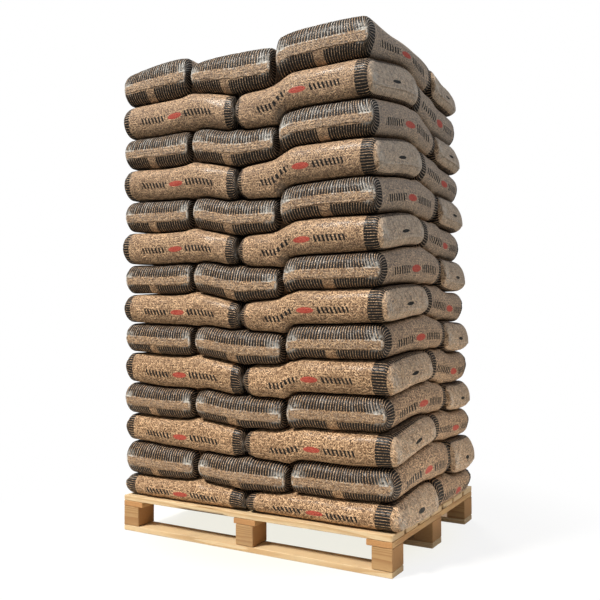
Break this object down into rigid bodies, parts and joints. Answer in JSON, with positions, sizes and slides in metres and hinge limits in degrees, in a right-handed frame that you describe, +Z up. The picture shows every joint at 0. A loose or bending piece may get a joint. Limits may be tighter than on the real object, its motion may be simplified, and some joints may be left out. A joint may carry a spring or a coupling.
{
  "type": "pallet of sacks",
  "caption": "Wooden pallet stacked high with clear film sacks of wood pellets, laid in crossed layers, with dark striped seam ends.",
  "frame": {"origin": "centre of the pallet's underside, on the level that it stands on", "axes": "+Z up, +X along the pallet's long side, -Y towards the front"},
  "size_m": [1.2231, 0.8811, 1.9042],
  "materials": {
    "pellet_sack_film": "clear glossy polyethylene film over light brown wood pellets, with printed dark stripes at the seam ends",
    "board_softwood": "sawn pale softwood with grain, knots and darker edges",
    "block_softwood": "sawn softwood block with end grain"
  },
  "bodies": {
    "root": {"sack_layer_01": "pellet_sack_film", "sack_layer_02": "pellet_sack_film", "sack_layer_03": "pellet_sack_film", "sack_layer_04": "pellet_sack_film", "sack_layer_05": "pellet_sack_film", "sack_layer_06": "pellet_sack_film", "sack_layer_07": "pellet_sack_film", "sack_layer_08": "pellet_sack_film", "sack_layer_09": "pellet_sack_film", "sack_layer_10": "pellet_sack_film", "sack_layer_11": "pellet_sack_film", "sack_layer_12": "pellet_sack_film", "sack_layer_13": "pellet_sack_film", "sack_layer_14": "pellet_sack_film", "deck_board_1": "board_softwood", "deck_board_2": "board_softwood", "deck_board_3": "board_softwood", "deck_board_4": "board_softwood", "deck_board_5": "board_softwood", "deck_board_6": "board_softwood", "deck_board_7": "board_softwood", "cross_board_left": "board_softwood", "cross_board_middle": "board_softwood", "cross_board_right": "board_softwood", "bottom_board_front": "board_softwood", "bottom_board_middle": "board_softwood", "bottom_board_back": "board_softwood", "block_front_left": "block_softwood", "block_front_middle": "block_softwood", "block_front_right": "block_softwood", "block_middle_left": "block_softwood", "block_middle_middle": "block_softwood", "block_middle_right": "block_softwood", "block_back_left": "block_softwood", "block_back_middle": "block_softwood", "block_back_right": "block_softwood"}
  },
  "joints": []
}
